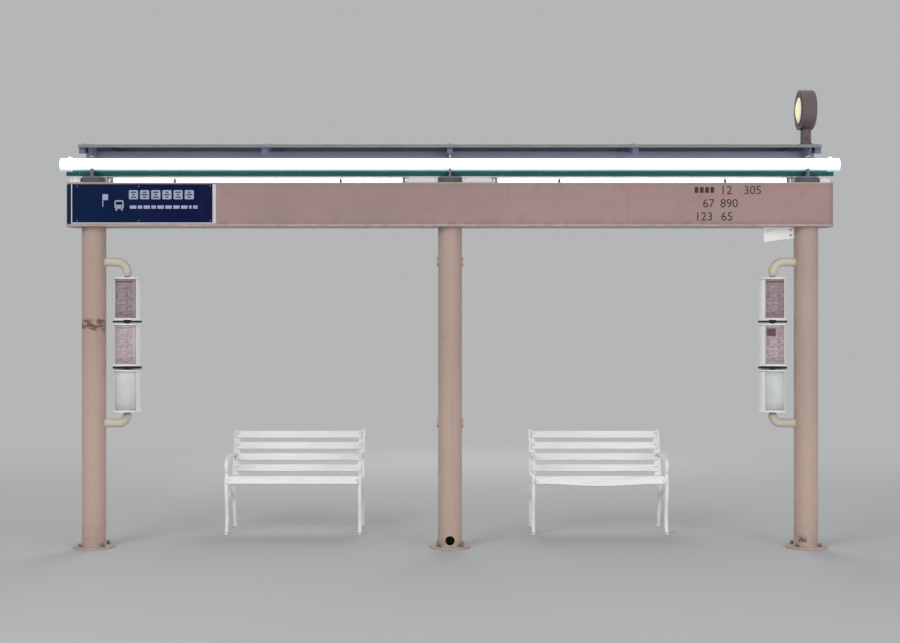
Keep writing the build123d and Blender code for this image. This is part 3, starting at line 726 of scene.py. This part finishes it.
def sign_marks(panel, side, blocks, reach):
    """Generic marks on a name panel: reach is how far they lie from the panel's inner end."""
    low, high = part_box(panel)
    place = facing(side, low.y if side < 0 else high.y, high.x, middle(panel).z)
    films = []

    def film(step, *outlines):
        """A film at a step outwards, of outlines as width, height, radius, across, up and steps."""
        loops = [rounded(wide, tall, radius, side * step + x, *rest)
                 for wide, tall, radius, x, *rest in outlines]
        films.append(cut_film(place, *loops))

    for k in range(blocks):
        slots = [(BLOCK_SIZE * (0.62 if (k + slot) % 2 else 0.34), SLOT_HEIGHT, 0.002, 0,
                  BLOCK_ROW + slot * SLOT_PITCH, 2) for slot in (-1, 0, 1)]
        film(reach - k * BLOCK_PITCH, (BLOCK_SIZE, BLOCK_SIZE, 0.006, 0, BLOCK_ROW), *slots)
    random = Random(5)
    start = reach + BLOCK_SIZE * 0.4
    while start > reach - (blocks - 0.6) * BLOCK_PITCH:
        length = random.choice(BAR_LENGTHS)
        film(start - length / 2, (length, BAR_HEIGHT, 0.003, 0, BAR_ROW, 2))
        start -= length + BAR_GAP
    film(reach + BUS_STEP, (0.062, 0.058, 0.012, 0, -0.004), (0.046, 0.022, 0.004, 0, 0.004),
         (0.010, 0.007, 0.003, -0.017, -0.020), (0.010, 0.007, 0.003, 0.017, -0.020))
    for wheel in (-0.019, 0.019):
        film(reach + BUS_STEP, (0.012, 0.012, 0.003, wheel, -0.040))
    film(reach + FLAG_STEP, (0.032, 0.040, 0.004, 0, 0.046))
    film(reach + FLAG_STEP, (0.006, 0.086, 0.002, -0.019, 0.023, 2))
    film_piece(panel + "_marks", films, "sign_white")


BORDER_WIDTH = 0.024
BORDER_THICKNESS = 0.0024
EDGING = 0.007  # width of the thin strips along a panel's foot and outer end
EDGING_GAP = 0.0003
PANEL_BEND = 0.044  # from a panel's outer end, past the beam's rounded corner


def panel_borders():
    """The pale strips along each panel's inner end, foot and outer end, and the panel's rivets."""
    strips, rivets = bmesh.new(), bmesh.new()
    for panel, side in (("front_name_panel", -1), ("back_name_panel", 1)):
        low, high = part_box(panel)
        slab(strips, (high.x, side * BEAM_FACE, low.z),
             (high.x + BORDER_WIDTH, side * (BEAM_FACE + BORDER_THICKNESS), high.z), ease=0.0005)
        start, face, outer = low.x + PANEL_BEND, side * PANEL_FACE, side * (PANEL_FACE + FILM)
        slab(strips, (start, face, low.z), (high.x, outer, low.z + EDGING))
        slab(strips, (start, face, low.z + EDGING + EDGING_GAP), (start + EDGING, outer, high.z))
        for z in (low.z + 0.020, high.z - 0.014):
            for x in (low.x + 0.085, middle(panel).x, high.x - 0.016):
                pan_screw(rivets, (x, face, z), (0, side, 0), 0.005, 0.0022)
    piece("panel_borders", strips, "sign_border")
    fasteners("panel_rivets", rivets)


FRONT_FIGURES = {2.459: ((1.845, "12"), (2.005, "305")), 2.369: ((1.725, "67"), (1.845, "890")),
                 2.279: ((1.672, "123"), (1.850, "65"))}
BACK_FIGURES = {2.445: "12", 2.365: "305", 2.285: "67"}


def route_numbers():
    """Rows of plain figures, with plain bars where the words were."""
    films = []
    for z, groups in FRONT_FIGURES.items():
        for x, text in groups:
            films.append(digits(facing(-1, -BEAM_FACE, x, z - 0.029), text, 0.058))
    for k in range(4):
        bar = rounded(0.026, 0.040, 0.004, steps=2)
        films.append(cut_film(facing(-1, -BEAM_FACE, 1.684 + 0.036 * k, 2.459), bar))
    for z, text in BACK_FIGURES.items():
        films.append(digits(facing(1, BEAM_FACE, -1.385, z - 0.025), text, 0.050))
    film_piece("route_numbers", films, "sign_dark")


def beam_screws():
    """Screws along the beam's top and underside, near its edges, left out where a post stands."""
    screws = bmesh.new()
    low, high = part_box("sign_beam")
    aside, clear = BEAM_FACE - 0.030, POST_RADIUS + 0.012
    for x in spread(low.x, high.x, 0.16, 14):
        if all((x - post) ** 2 + aside**2 >= clear**2 for post in POST_PLACES):
            for side in (-1, 1):
                for z, way in ((low.z, -UP), (high.z, UP)):
                    pan_screw(screws, (x, side * aside, z), way, 0.0055, 0.003)
    fasteners("beam_screws", screws)


BAND_STEP = 0.053  # from the light's end to the middle of its clamp band
RAIL_STEP = 0.030  # from the light's end to the end of the rail under it
RAIL_DEPTH = 0.031
RAIL_FLANGE = 0.006
ARM_CLEAR = 0.009  # from an arm's middle to the rail


def tube_fittings():
    """Clamp bands near the light's ends, glowing as painted light, screws in its caps, and the rail under it
    between the arms, dark teal as painted shade.
    """
    bands, screws, rail = bmesh.new(), bmesh.new(), bmesh.new()
    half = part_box("light_tube")[1].x
    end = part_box("right_tube_cap")[1].x - 0.0018
    for side in (-1, 1):
        x = side * (half - BAND_STEP)
        lathe(bands, band(TUBE_RADIUS, TUBE_RADIUS + 0.0045, 0.019), aim((x, 0, TUBE_HEIGHT), (1, 0, 0)), 48)
        slab(bands, (-0.012, -0.009, TUBE_RADIUS), (0.012, 0.009, TUBE_RADIUS + 0.010),
             at(x, 0, TUBE_HEIGHT), 0.001)
        for spot in circle(aim((side * end, 0, TUBE_HEIGHT), (1, 0, 0)), 0.030, 3, 1.5 / tau):
            pan_screw(screws, spot, (side, 0, 0), 0.004, 0.0016)
    high = TUBE_HEIGHT - TUBE_RADIUS
    low = high - RAIL_DEPTH
    stops = [RAIL_STEP - half] + POST_PLACES + [half - RAIL_STEP]
    for start, stop in zip(stops, stops[1:]):
        start += ARM_CLEAR if start in POST_PLACES else 0
        stop -= ARM_CLEAR if stop in POST_PLACES else 0
        slab(rail, (start, -0.012, low + RAIL_FLANGE), (stop, 0.012, high + 0.0008), ease=0.001)
        slab(rail, (start, -0.017, low), (stop, 0.017, low + RAIL_FLANGE), ease=0.0015)
        count = round((stop - start) / 0.5) + 1
        for k in range(count):
            x = start + (stop - start) * (k + 0.5) / count
            pan_screw(screws, (x, -0.012, low + 0.018), (0, -1, 0), 0.004, 0.002)
    # The bands glow as painted light; the rail's teal is painted shade
    piece("light_clamp_bands", bands, "light_caps")
    fasteners("light_cap_screws", screws)
    piece("light_rail", rail, "light_rail")


BOX_HALF = 0.030
BOX_HEIGHT = 0.030
LID_REACH = 0.002
LID_HEIGHT = 0.010
POST_CLEAR = 0.088  # from a post's middle to a cable box


def beam_trunking():
    """Short pale cable boxes on the beam's top, beside the heads of the posts."""
    boxes, screws = bmesh.new(), bmesh.new()
    left, centre, right = POST_PLACES
    lid = BEAM_TOP + BOX_HEIGHT
    reach = BOX_HALF + LID_REACH
    for start, stop in ((left - 0.158, left - POST_CLEAR), (centre - 0.300, centre - POST_CLEAR),
                        (centre + POST_CLEAR, centre + 0.286), (right + POST_CLEAR, right + 0.156)):
        slab(boxes, (start, -BOX_HALF, BEAM_TOP), (stop, BOX_HALF, lid), ease=0.0015)
        slab(boxes, (start - 0.001, -reach, lid), (stop + 0.001, reach, lid + LID_HEIGHT), ease=0.002)
        for x in (start + 0.014, stop - 0.014):
            pan_screw(screws, (x, -reach, lid + LID_HEIGHT / 2), (0, -1, 0), 0.0035, 0.0018)
    piece("beam_trunking", boxes, "batten_white")
    fasteners("trunking_screws", screws)


CLIP_THICKNESS = 0.0016
CLIP_WIDTH = 0.018
CLIP_LIFT = 0.0012  # from the lamp to the middle of the clip


def lamp_clip(mesh, centre, radius):
    """A spring clip bent round the underside of a lamp, as short straight lengths of strip."""
    reach = radius + CLIP_LIFT
    turns = [radians(angle) for angle in range(-140, 141, 10)]
    points = [centre + Vector((0, reach * sin(turn), -reach * cos(turn))) for turn in turns]
    across = Vector((1, 0, 0))
    for first, second in zip(points, points[1:]):
        along = (second - first).normalized()
        turn = Matrix((across.cross(along), across, along)).transposed().to_4x4()
        corner = Vector((CLIP_THICKNESS / 2, CLIP_WIDTH / 2, (second - first).length * 0.56))
        slab(mesh, -corner, corner, at(*(first + second) / 2) @ turn)


def batten_fittings():
    """Spring clips round the lamps, the lamps' metal ends, and the bolts and screws of the hangers."""
    clips, ends, bolts = bmesh.new(), bmesh.new(), bmesh.new()
    for name in SIDES:
        lamp, batten = name + "_batten_lamp", name + "_batten"
        low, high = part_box(lamp)
        _, y, z = middle(lamp)
        radius = (high.z - low.z) / 2
        rim = radius + 0.0006
        section = [(radius * 0.5, 0.0), (rim - 0.002, 0.0), (rim, 0.002), (rim, 0.026), (radius, 0.0264)]
        for share in (0.22, 0.78):
            lamp_clip(clips, Vector((low.x + (high.x - low.x) * share, y, z)), radius)
        for x, way in ((low.x, 1), (high.x, -1)):
            lathe(ends, section, aim((x, y, z), (way, 0, 0)), 28)
        for side in (-1, 1):
            for step in (-0.010, 0.010):
                x = middle(batten).x + side * HANGER_STEP + step
                hex_nut(bolts, (x, *HANGER_FOOT), UP, width=0.008, height=0.005, stud=0.0025, reach=0.002)
                pan_screw(bolts, (x, *HANGER_HEAD), -UP, 0.005, 0.003)
    piece("lamp_clips", clips, "spindle_steel")
    piece("lamp_ends", ends, "lamp_ends")
    fasteners("hanger_bolts", bolts)


def seats(node, places):
    """Where upright lines at places, each X and Y, meet a node from above, and the face's normal there."""
    hits = [NODES[node].ray_cast(Vector((x, y, 4)), -UP) for x, y in places]
    return [(spot, normal) for hit, spot, normal, _ in hits if hit]


# Roof ribs by name, with the side of the roof that an end rib closes
RIBS = {"left_end": -1, "left_middle": 0, "centre": 0, "right_middle": 0, "right_end": 1}
RIB_CAP_HALF = 0.025
END_CAP_HALF = 0.012
SEAL_CLEAR = 0.0022  # from a cap's edge to its seal
PLUG_WALL = 0.0032


def roof_fittings():
    """Screws down each glazing bar's cap, rubber lines beside the caps, and plugs in the rails' ends."""
    screws, seals, plugs = bmesh.new(), bmesh.new(), bmesh.new()
    for place, outer in RIBS.items():
        rib = place + "_roof_rib"
        low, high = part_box(rib)
        half = END_CAP_HALF if outer else RIB_CAP_HALF
        centre = {-1: low.x + half, 0: middle(rib).x, 1: high.x - half}[outer]
        places = [(centre, y) for y in spread(low.y, high.y, 0.12, 6)]
        for k, (spot, normal) in enumerate(seats(rib, places)):
            if abs(spot.x - STEM_X) + abs(spot.y) > 0.09:
                hex_nut(screws, spot, normal, width=0.008, height=0.005, stud=0.0001, reach=0.0, roll=k * 0.7)
        for side in [way for way in (-1, 1) if way != outer]:
            x = centre + side * (half + SEAL_CLEAR)
            sheets = "left_roof_sheets" if x < 0 else "right_roof_sheets"
            places = [(x, y) for y in spread(low.y, high.y, 0.02, 41)]
            line = [spot + normal * 0.0012 for spot, normal in seats(sheets, places)]
            if len(line) > 2:
                bead(seals, line, 0.0024, closed=False, ripple=0.0, sides=6)
    for rail in ("roof_front_rail", "roof_rear_rail"):
        low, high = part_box(rail)
        wall = Vector((0, PLUG_WALL, PLUG_WALL))
        for x, way in ((low.x, 1), (high.x, -1)):
            end = Vector((x + way * 0.006, high.y, high.z))
            slab(plugs, Vector((x, low.y, low.z)) + wall, end - wall, ease=0.001)
    fasteners("rib_screws", screws)
    piece("rib_seals", seals, "rubber")
    piece("rail_plugs", plugs, "rubber")


BEZEL_INNER = LENS_RADIUS + 0.0005
BEZEL_OUTER = LENS_RADIUS + 0.020
BEZEL_PROUD = 0.0045
LENS_RINGS = (0.018, 0.030, 0.042, 0.054)
STEM_SCREW_CIRCLE = 0.0405
STEM_GLAND_HEIGHT = 2.823


def roof_lamp_fittings():
    """A bezel with screws round the lens, rings moulded in it, a blanked gland and the stem's screws."""
    bezel, rings, bolts = bmesh.new(), bmesh.new(), bmesh.new()
    face = aim(ROOF_LAMP, (-1, 0, 0))
    lathe(bezel, [(BEZEL_INNER, 0), (BEZEL_OUTER, 0), (BEZEL_OUTER, 0.003), (BEZEL_OUTER - 0.003, BEZEL_PROUD),
                  (BEZEL_INNER + 0.002, BEZEL_PROUD), (BEZEL_INNER, 0.003)], face, 64, closed=True)
    for spot in circle(face, (BEZEL_INNER + BEZEL_OUTER) / 2, 6, 0.5, BEZEL_PROUD):
        pan_screw(bolts, spot, (-1, 0, 0), 0.0045, 0.0025)
    for radius in LENS_RINGS:
        section = ((-0.0030, -0.0002), (-0.0015, 0), (0.0015, 0), (0.0030, -0.0002), (0, -0.0006))
        lathe(rings, [(radius + out, LENS_PROUD + rise) for out, rise in section], face, 56, closed=True)
    around = [spot.xy for spot in circle(at(STEM_X, 0, 0), STEM_SCREW_CIRCLE, 4, 0.5)]
    for spot, normal in seats("roof_lamp_stem", around):
        if spot.z < ROOF_LAMP.z:
            pan_screw(bolts, spot, normal, 0.0036, 0.0024)
    gland = (STEM_X, 0.001 - STEM_RADIUS, STEM_GLAND_HEIGHT)
    lathe(bezel, [(0.006, 0), (0.012, 0), (0.012, 0.005), (0.010, 0.007), (0.007, 0.007), (0.006, 0.005)],
          aim(gland, (0, -1, 0)), 24, closed=True)
    pan_screw(bolts, gland, (0, -1, 0), 0.0058, 0.004)
    piece("roof_lamp_bezel", bezel, "roof_lamp_case")
    piece("roof_lamp_lens_rings", rings, "roof_lamp_lens")
    fasteners("roof_lamp_bolts", bolts)


def islands(mesh):
    """The vertices of each separate solid in a mesh."""
    seen = set()
    for first in mesh.verts:
        if first not in seen:
            seen.add(first)
            island = [first]
            for vert in island:
                near = [edge.other_vert(vert) for edge in vert.link_edges]
                fresh = [other for other in near if other not in seen]
                seen.update(fresh)
                island += fresh
            yield island


def slat_ends(node):
    """The middle, the direction across and the inward way of each slat's two end faces."""
    mesh = bmesh.new()
    mesh.from_mesh(NODES[node].data)
    bmesh.ops.remove_doubles(mesh, verts=mesh.verts, dist=1e-5)
    found = []
    for island in islands(mesh):
        for pick, way in ((min, 1), (max, -1)):
            end = pick(vert.co.x for vert in island)
            corners = [vert.co.copy() for vert in island if abs(vert.co.x - end) < 1e-4]
            pairs = [(a, b) for a in corners for b in corners]
            first, second = max(pairs, key=lambda pair: (pair[0] - pair[1]).length)
            sides = [b - a for a, b in pairs if (b - a).length > 0.02]
            widest = BACK_SLAT_WIDTH + 0.0005
            across = max(sides, key=lambda side: side.length if side.length < widest else 0.0)
            found.append(((first + second) / 2, across.normalized(), way))
    mesh.free()
    return found


def slat_bolts(bench):
    """A coach bolt's domed head through each slat's end, into the casting's lug."""
    node = bench + "_bench_slats"
    heads = bmesh.new()
    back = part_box(node)[1].y
    profile = [(0, -0.001), (0.0075, -0.001), (0.0072, 0.0012), (0.0052, 0.0030), (0.0026, 0.0040),
               (0, 0.0042)]
    for centre, across, way in slat_ends(node):
        normal = Vector((1, 0, 0)).cross(across).normalized()
        if normal.z < -0.3 or (normal.z < 0.3 and normal.y > 0):
            normal = -normal
        if normal.y > 0.5:
            normal = -normal
        start = centre + Vector((way * 0.013, 0, 0)) + normal * 0.1
        hit, spot, seen, _ = NODES[node].ray_cast(start, -normal)
        if hit and (spot - start).length < 0.12 and spot.y < back:
            lathe(heads, profile, aim(spot, seen), 14)
    piece(bench + "_bench_bolts", heads, "rusty_bolt")


# Roundels by their Y behind the bench's front, height and radius
ROUNDELS = ((0.451, 0.545, 0.010), (0.062, 0.548, 0.010), (0.030, 0.455, 0.010), (0.398, 0.352, 0.012),
            (0.046, 0.192, 0.012), (0.408, 0.198, 0.012), (0.513, 0.720, 0.011))
ROUNDEL_DEPTH = 0.0012


def bench_roundels(bench):
    """Cast roundels on the outer face of each bench end: at the arm's scroll, the knees and the top."""
    studs = bmesh.new()
    for end, way in SIDES.items():
        low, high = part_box(f"{bench}_bench_{end}_frame")
        x = (low.x if way < 0 else high.x) - way * ROUNDEL_DEPTH
        for y, z, radius in ROUNDELS:
            profile = [(0, 0), (radius, 0), (radius * 0.92, 0.0008), (radius * 0.5, 0.0011),
                       (0, ROUNDEL_DEPTH)]
            lathe(studs, profile, aim((x, BENCH_FRONT + y, z), (way, 0, 0)), 20)
    piece(bench + "_bench_roundels", studs, "bench_iron")


# Drum papers: how far each reaches round its drum, in degrees from the front, and the print on each level
# On the right drums the papers start at -44 degrees, so the bare white drum on their left is a painted
# highlight
PAPER_ANGLES = {"left": (-50, 51), "right": (-44, 46)}
PAPERS = {"lower": "blank", "middle": "{}_middle", "upper": "upper"}
PAPER_MARGIN = 0.011
PAPER_LIFT = 0.0007
PAPER_CURL = 0.0006
PAPER_THICKNESS = 0.0004
PAPER_STEPS = 28
PAPER_ROWS = 4


def drum_paper(name, side, level, angles, material):
    """A sheet wrapped round a drum between its flanges, with its own U and V in metres."""
    low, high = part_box(name)
    foot, height = low.z + PAPER_MARGIN, high.z - low.z - 2 * PAPER_MARGIN
    first, reach = radians(angles[0]), radians(angles[1] - angles[0])
    mesh = bmesh.new()
    grid = mesh.loops.layers.uv.new("sheet")
    places = {}
    for k in range(PAPER_STEPS + 1):
        share = k / PAPER_STEPS
        curl = PAPER_CURL * (1 + sin(5 * pi * share + level)) * (abs(share - 0.5) * 2) ** 3
        radius, angle = DRUM_RADIUS + PAPER_LIFT + curl, first + reach * share
        for row in range(PAPER_ROWS + 1):
            rise = height * row / PAPER_ROWS
            spot = (side * DRUM_AXIS + radius * sin(angle), -radius * cos(angle), foot + rise)
            places[k, row] = (mesh.verts.new(spot), (DRUM_RADIUS * reach * share, rise))
    for k in range(PAPER_STEPS):
        for row in range(PAPER_ROWS):
            corners = [places[c] for c in ((k, row), (k + 1, row), (k + 1, row + 1), (k, row + 1))]
            face = mesh.faces.new([vert for vert, _ in corners])
            for loop, (_, flat) in zip(face.loops, corners):
                loop[grid].uv = flat
    made = piece(name + "_sheet", mesh, material, name, crease=60)
    modify(made, "SOLIDIFY", thickness=PAPER_THICKNESS, offset=-1)


def drum_fittings(name, side):
    """Screws in a drum's flanges, a joint line down its back and a bead under each flange."""
    low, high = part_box(name)
    axis = side * DRUM_AXIS
    screws, trim = bmesh.new(), bmesh.new()
    for x, y, _ in circle(at(axis, 0, 0), 0.060, 6, 0.25):
        for z, way in ((high.z, UP), (low.z, -UP)):
            pan_screw(screws, (x, y, z), way, 0.0045, 0.0022)
    fasteners(name + "_screws", screws, name)
    foot, head = low.z + DRUM_FLANGE, high.z - DRUM_FLANGE
    for z, way in ((foot, 1), (head, -1)):
        section = ((0, way * 0.004), (0.0012, way * 0.003), (0.004, 0), (0, 0))
        lathe(trim, [(DRUM_RADIUS + out, rise) for out, rise in section], at(axis, 0, z), 56)
    slab(trim, (axis - 0.008, DRUM_RADIUS - 0.002, foot), (axis + 0.008, DRUM_RADIUS + 0.0012, head),
         ease=0.0004)
    piece(name + "_trim", trim, "drum_white", body=name)


def spacer_discs(name, side):
    """The dark discs that stand still on the spindle between the drums."""
    discs = bmesh.new()
    for below, above in (("lower", "middle"), ("middle", "upper")):
        height = (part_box(f"{name}_{below}_drum")[1].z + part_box(f"{name}_{above}_drum")[0].z) / 2
        section = band(COLLAR_RADIUS - 0.0004, DRUM_RIM - 0.006, 0.0065)
        lathe(discs, section, at(side * DRUM_AXIS, 0, height), 48, closed=True)
    piece(name + "_spacer_discs", discs, "rubber")


def knee_fittings():
    """Bolts through the knee plate near the post, and the weld along the post."""
    bolts, welds = bmesh.new(), bmesh.new()
    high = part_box("knee_plate")[1]
    face = KNEE_THICKNESS / 2
    off = face + WELD_LIFT
    seam = POST_PLACES[2] - sqrt(POST_RADIUS**2 - off**2) - WELD_LIFT
    for z in (high.z - 0.055, high.z - 0.018):
        for side in (-1, 1):
            spot = (high.x - 0.024, side * face, z)
            hex_nut(bolts, spot, (0, side, 0), width=0.010, height=0.006, stud=0.003, reach=0.002)
    for side in (-1, 1):
        run = [Vector((seam, side * off, high.z - 0.070 + k * 0.004)) for k in range(17)]
        bead(welds, run, 0.0028, closed=False)
    fasteners("knee_bolts", bolts)
    piece("knee_welds", welds, "knee_white", crease=80)


EASED_EDGES = {name: 0.0045 for name in NODES if name.endswith("_frame")} | {"knee_plate": 0.0012}


def ease_castings():
    """Rounds the edges of the bench castings and of the knee plate on screen, without moving their nodes."""
    for name, width in EASED_EDGES.items():
        modify(NODES[name], "WELD", merge_threshold=1e-5)
        modify(NODES[name], "DECIMATE", decimate_type="DISSOLVE", angle_limit=radians(1))
        modify(NODES[name], "BEVEL", width=width, segments=3, limit_method="ANGLE", angle_limit=radians(40))


def floor():
    """A pale floor that fades into the backdrop's colour far from the middle, for what the camera sees."""
    mesh = bmesh.new()
    bmesh.ops.create_grid(mesh, x_segments=1, y_segments=1, size=FLOOR_REACH)
    data = bpy.data.meshes.new("floor")
    mesh.to_mesh(data)
    mesh.free()
    ground = show(data, "floor")
    ground.location.z = -FLOOR_CLEAR
    material = bpy.data.materials.new("floor")
    graph = Graph(material)
    place = graph.add("NewGeometry").outputs["Position"]
    away = graph.add("VectorMath", [place], operation="LENGTH").outputs["Value"]
    faded = graph.times(graph.span(away, *FLOOR_FADE), graph.direct_rays())
    near = graph.add("BsdfDiffuse", {"Color": FLOOR_COLOR}).outputs[0]
    far = graph.add("Emission", (BACKDROP_COLOR, 1.0)).outputs[0]
    graph.add("OutputMaterial", [graph.add("MixShader", (faded, near, far)).outputs[0]])
    data.materials.append(material)


def studio():
    """An even sky for light, a pale plain background for the eye, and large soft lamps."""
    world = bpy.data.worlds.new("studio")
    bpy.context.scene.world = world
    graph = Graph(world)
    light = graph.add("Background", (SKY_COLOR, SKY_LIGHT)).outputs[0]
    seen = graph.add("Background", (BACKDROP_COLOR, 1.0)).outputs[0]
    graph.add("OutputWorld", [graph.add("MixShader", (graph.direct_rays(), light, seen)).outputs[0]])
    for name, (place, target, power) in LAMPS.items():
        lamp = bpy.data.lights.new(name, "AREA")
        lamp.shape = "DISK"
        lamp.size = LAMP_SIZE
        lamp.energy = power
        holder = show(lamp, name)
        holder.matrix_world = aim(place, Vector(place) - Vector(target))
        holder.visible_camera = False
        holder.visible_glossy = False


def camera():
    """Stands where the photograph was taken from."""
    lens = bpy.data.cameras.new("camera")
    lens.lens = PHOTO_LENS * CLOSER
    lens.sensor_width = SENSOR_WIDTH
    holder = show(lens, "camera")
    holder.location = EYE
    holder.rotation_euler = (pi / 2, 0, 0)
    bpy.context.scene.camera = holder


for node_name, node_object in NODES.items():
    dress(node_object, SLOTS[node_name])
ease_castings()
post_fixings()
bracket_welds()
arm_welds()
sign_marks("front_name_panel", -1, 6, 0.540)
sign_marks("back_name_panel", 1, 3, 0.230)
panel_borders()
route_numbers()
beam_screws()
tube_fittings()
beam_trunking()
batten_fittings()
roof_fittings()
roof_lamp_fittings()
knee_fittings()
for side_name in SIDES:
    slat_bolts(side_name)
    bench_roundels(side_name)
for side_name, side_sign in SIDES.items():
    for level_number, (level_name, paper) in enumerate(PAPERS.items()):
        drum_name = f"{side_name}_{level_name}_drum"
        paper_name = paper.format(side_name) + "_paper"
        drum_paper(drum_name, side_sign, level_number, PAPER_ANGLES[side_name], paper_name)
        drum_fittings(drum_name, side_sign)
    spacer_discs(side_name, side_sign)

floor()
studio()
camera()
bpy.context.scene.view_settings.view_transform = "Standard"
